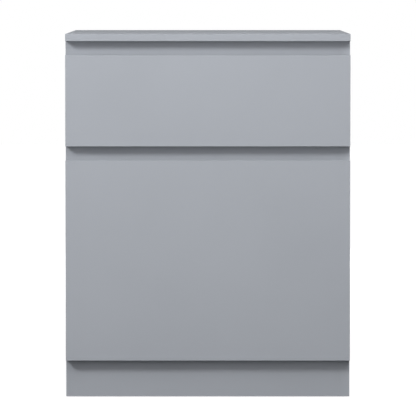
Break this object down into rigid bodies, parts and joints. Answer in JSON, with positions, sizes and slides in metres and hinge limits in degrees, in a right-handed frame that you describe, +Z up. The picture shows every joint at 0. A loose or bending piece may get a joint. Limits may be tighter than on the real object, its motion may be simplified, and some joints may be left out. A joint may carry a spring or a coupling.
{
  "type": "nightstand with drawers",
  "caption": "Handleless bedside cabinet: full-width drawer fronts with finger gaps above them, on roller runners, over a recessed plinth.",
  "frame": {"origin": "on the floor, under the middle of the cabinet's overall box", "axes": "+Z up, +X to the right of someone facing the drawers, -Y out of the drawer fronts"},
  "size_m": [0.395, 0.415, 0.507],
  "materials": {
    "grey_lacquer": "matt grey lacquer on board",
    "carcass_board": "grey melamine-faced chipboard",
    "drawer_foil": "light grey foil-wrapped board",
    "lacquered_hardboard": "lacquered hardboard",
    "coated_runner": "white epoxy-coated steel",
    "nylon_roller": "natural nylon",
    "zinc_steel": "zinc-plated steel",
    "zinc_cam": "die-cast zinc",
    "beech_dowel": "raw beech",
    "pine_block": "raw softwood",
    "block_plastic": "moulded grey plastic",
    "glide_plastic": "moulded black plastic",
    "bumper_pad": "soft clear silicone"
  },
  "bodies": {
    "cabinet": {"back_panel": "lacquered_hardboard", "back_panel_screws": "zinc_steel", "base_panel": "carcass_board", "cabinet_runner_screws": "zinc_steel", "carcass_cam_bolts": "zinc_steel", "carcass_cam_locks": "zinc_cam", "carcass_dowels": "beech_dowel", "finger_rail_middle": "grey_lacquer", "finger_rail_upper": "grey_lacquer", "floor_glides": "glide_plastic", "lower_cabinet_runner_left": "coated_runner", "lower_cabinet_runner_right": "coated_runner", "plinth_blocks": "pine_block", "plinth_front": "grey_lacquer", "plinth_rear": "carcass_board", "rear_rail": "carcass_board", "side_panel_left": "grey_lacquer", "side_panel_right": "grey_lacquer", "top_fixing_blocks": "block_plastic", "top_fixing_screws": "zinc_steel", "top_panel": "grey_lacquer", "upper_cabinet_runner_left": "coated_runner", "upper_cabinet_runner_right": "coated_runner"},
    "lower_cabinet_roller_left": {"lower_cabinet_roller_left": "nylon_roller"},
    "lower_cabinet_roller_right": {"lower_cabinet_roller_right": "nylon_roller"},
    "lower_drawer": {"lower_drawer_back": "drawer_foil", "lower_drawer_bottom": "lacquered_hardboard", "lower_drawer_bumpers": "bumper_pad", "lower_drawer_cam_bolts": "zinc_steel", "lower_drawer_cam_locks": "zinc_cam", "lower_drawer_dowels": "beech_dowel", "lower_drawer_front": "grey_lacquer", "lower_drawer_runner_left": "coated_runner", "lower_drawer_runner_right": "coated_runner", "lower_drawer_screws": "zinc_steel", "lower_drawer_side_left": "drawer_foil", "lower_drawer_side_right": "drawer_foil"},
    "lower_drawer_roller_left": {"lower_drawer_roller_left": "nylon_roller"},
    "lower_drawer_roller_right": {"lower_drawer_roller_right": "nylon_roller"},
    "upper_cabinet_roller_left": {"upper_cabinet_roller_left": "nylon_roller"},
    "upper_cabinet_roller_right": {"upper_cabinet_roller_right": "nylon_roller"},
    "upper_drawer": {"upper_drawer_back": "drawer_foil", "upper_drawer_bottom": "lacquered_hardboard", "upper_drawer_bumpers": "bumper_pad", "upper_drawer_cam_bolts": "zinc_steel", "upper_drawer_cam_locks": "zinc_cam", "upper_drawer_dowels": "beech_dowel", "upper_drawer_front": "grey_lacquer", "upper_drawer_runner_left": "coated_runner", "upper_drawer_runner_right": "coated_runner", "upper_drawer_screws": "zinc_steel", "upper_drawer_side_left": "drawer_foil", "upper_drawer_side_right": "drawer_foil"},
    "upper_drawer_roller_left": {"upper_drawer_roller_left": "nylon_roller"},
    "upper_drawer_roller_right": {"upper_drawer_roller_right": "nylon_roller"}
  },
  "joints": [
    {"name": "upper_drawer_slide", "type": "slide", "parent": "cabinet", "child": "upper_drawer", "axis": [0, -1, 0], "range_m": [0, 0.26]},
    {"name": "lower_drawer_slide", "type": "slide", "parent": "cabinet", "child": "lower_drawer", "axis": [0, -1, 0], "range_m": [0, 0.26]},
    {"name": "upper_cabinet_roller_left_turn", "type": "hinge", "parent": "cabinet", "child": "upper_cabinet_roller_left", "pos_m": [-0.17625, -0.1775, 0.378], "axis": [1, 0, 0], "range_deg": [0, 1660]},
    {"name": "upper_cabinet_roller_right_turn", "type": "hinge", "parent": "cabinet", "child": "upper_cabinet_roller_right", "pos_m": [0.17625, -0.1775, 0.378], "axis": [1, 0, 0], "range_deg": [0, 1660]},
    {"name": "upper_drawer_roller_left_turn", "type": "hinge", "parent": "upper_drawer", "child": "upper_drawer_roller_left", "pos_m": [-0.17625, 0.1455, 0.3757], "axis": [1, 0, 0], "range_deg": [0, 1990]},
    {"name": "upper_drawer_roller_right_turn", "type": "hinge", "parent": "upper_drawer", "child": "upper_drawer_roller_right", "pos_m": [0.17625, 0.1455, 0.3757], "axis": [1, 0, 0], "range_deg": [0, 1990]},
    {"name": "lower_cabinet_roller_left_turn", "type": "hinge", "parent": "cabinet", "child": "lower_cabinet_roller_left", "pos_m": [-0.17625, -0.1775, 0.09], "axis": [1, 0, 0], "range_deg": [0, 1660]},
    {"name": "lower_cabinet_roller_right_turn", "type": "hinge", "parent": "cabinet", "child": "lower_cabinet_roller_right", "pos_m": [0.17625, -0.1775, 0.09], "axis": [1, 0, 0], "range_deg": [0, 1660]},
    {"name": "lower_drawer_roller_left_turn", "type": "hinge", "parent": "lower_drawer", "child": "lower_drawer_roller_left", "pos_m": [-0.17625, 0.1455, 0.0877], "axis": [1, 0, 0], "range_deg": [0, 1990]},
    {"name": "lower_drawer_roller_right_turn", "type": "hinge", "parent": "lower_drawer", "child": "lower_drawer_roller_right", "pos_m": [0.17625, 0.1455, 0.0877], "axis": [1, 0, 0], "range_deg": [0, 1990]}
  ],
  "couplings": [
    {"joint": "upper_cabinet_roller_left_turn", "follows": "upper_drawer_slide", "rad_per_m": 111.11},
    {"joint": "upper_cabinet_roller_right_turn", "follows": "upper_drawer_slide", "rad_per_m": 111.11},
    {"joint": "upper_drawer_roller_left_turn", "follows": "upper_drawer_slide", "rad_per_m": 133.33},
    {"joint": "upper_drawer_roller_right_turn", "follows": "upper_drawer_slide", "rad_per_m": 133.33},
    {"joint": "lower_cabinet_roller_left_turn", "follows": "lower_drawer_slide", "rad_per_m": 111.11},
    {"joint": "lower_cabinet_roller_right_turn", "follows": "lower_drawer_slide", "rad_per_m": 111.11},
    {"joint": "lower_drawer_roller_left_turn", "follows": "lower_drawer_slide", "rad_per_m": 133.33},
    {"joint": "lower_drawer_roller_right_turn", "follows": "lower_drawer_slide", "rad_per_m": 133.33}
  ]
}
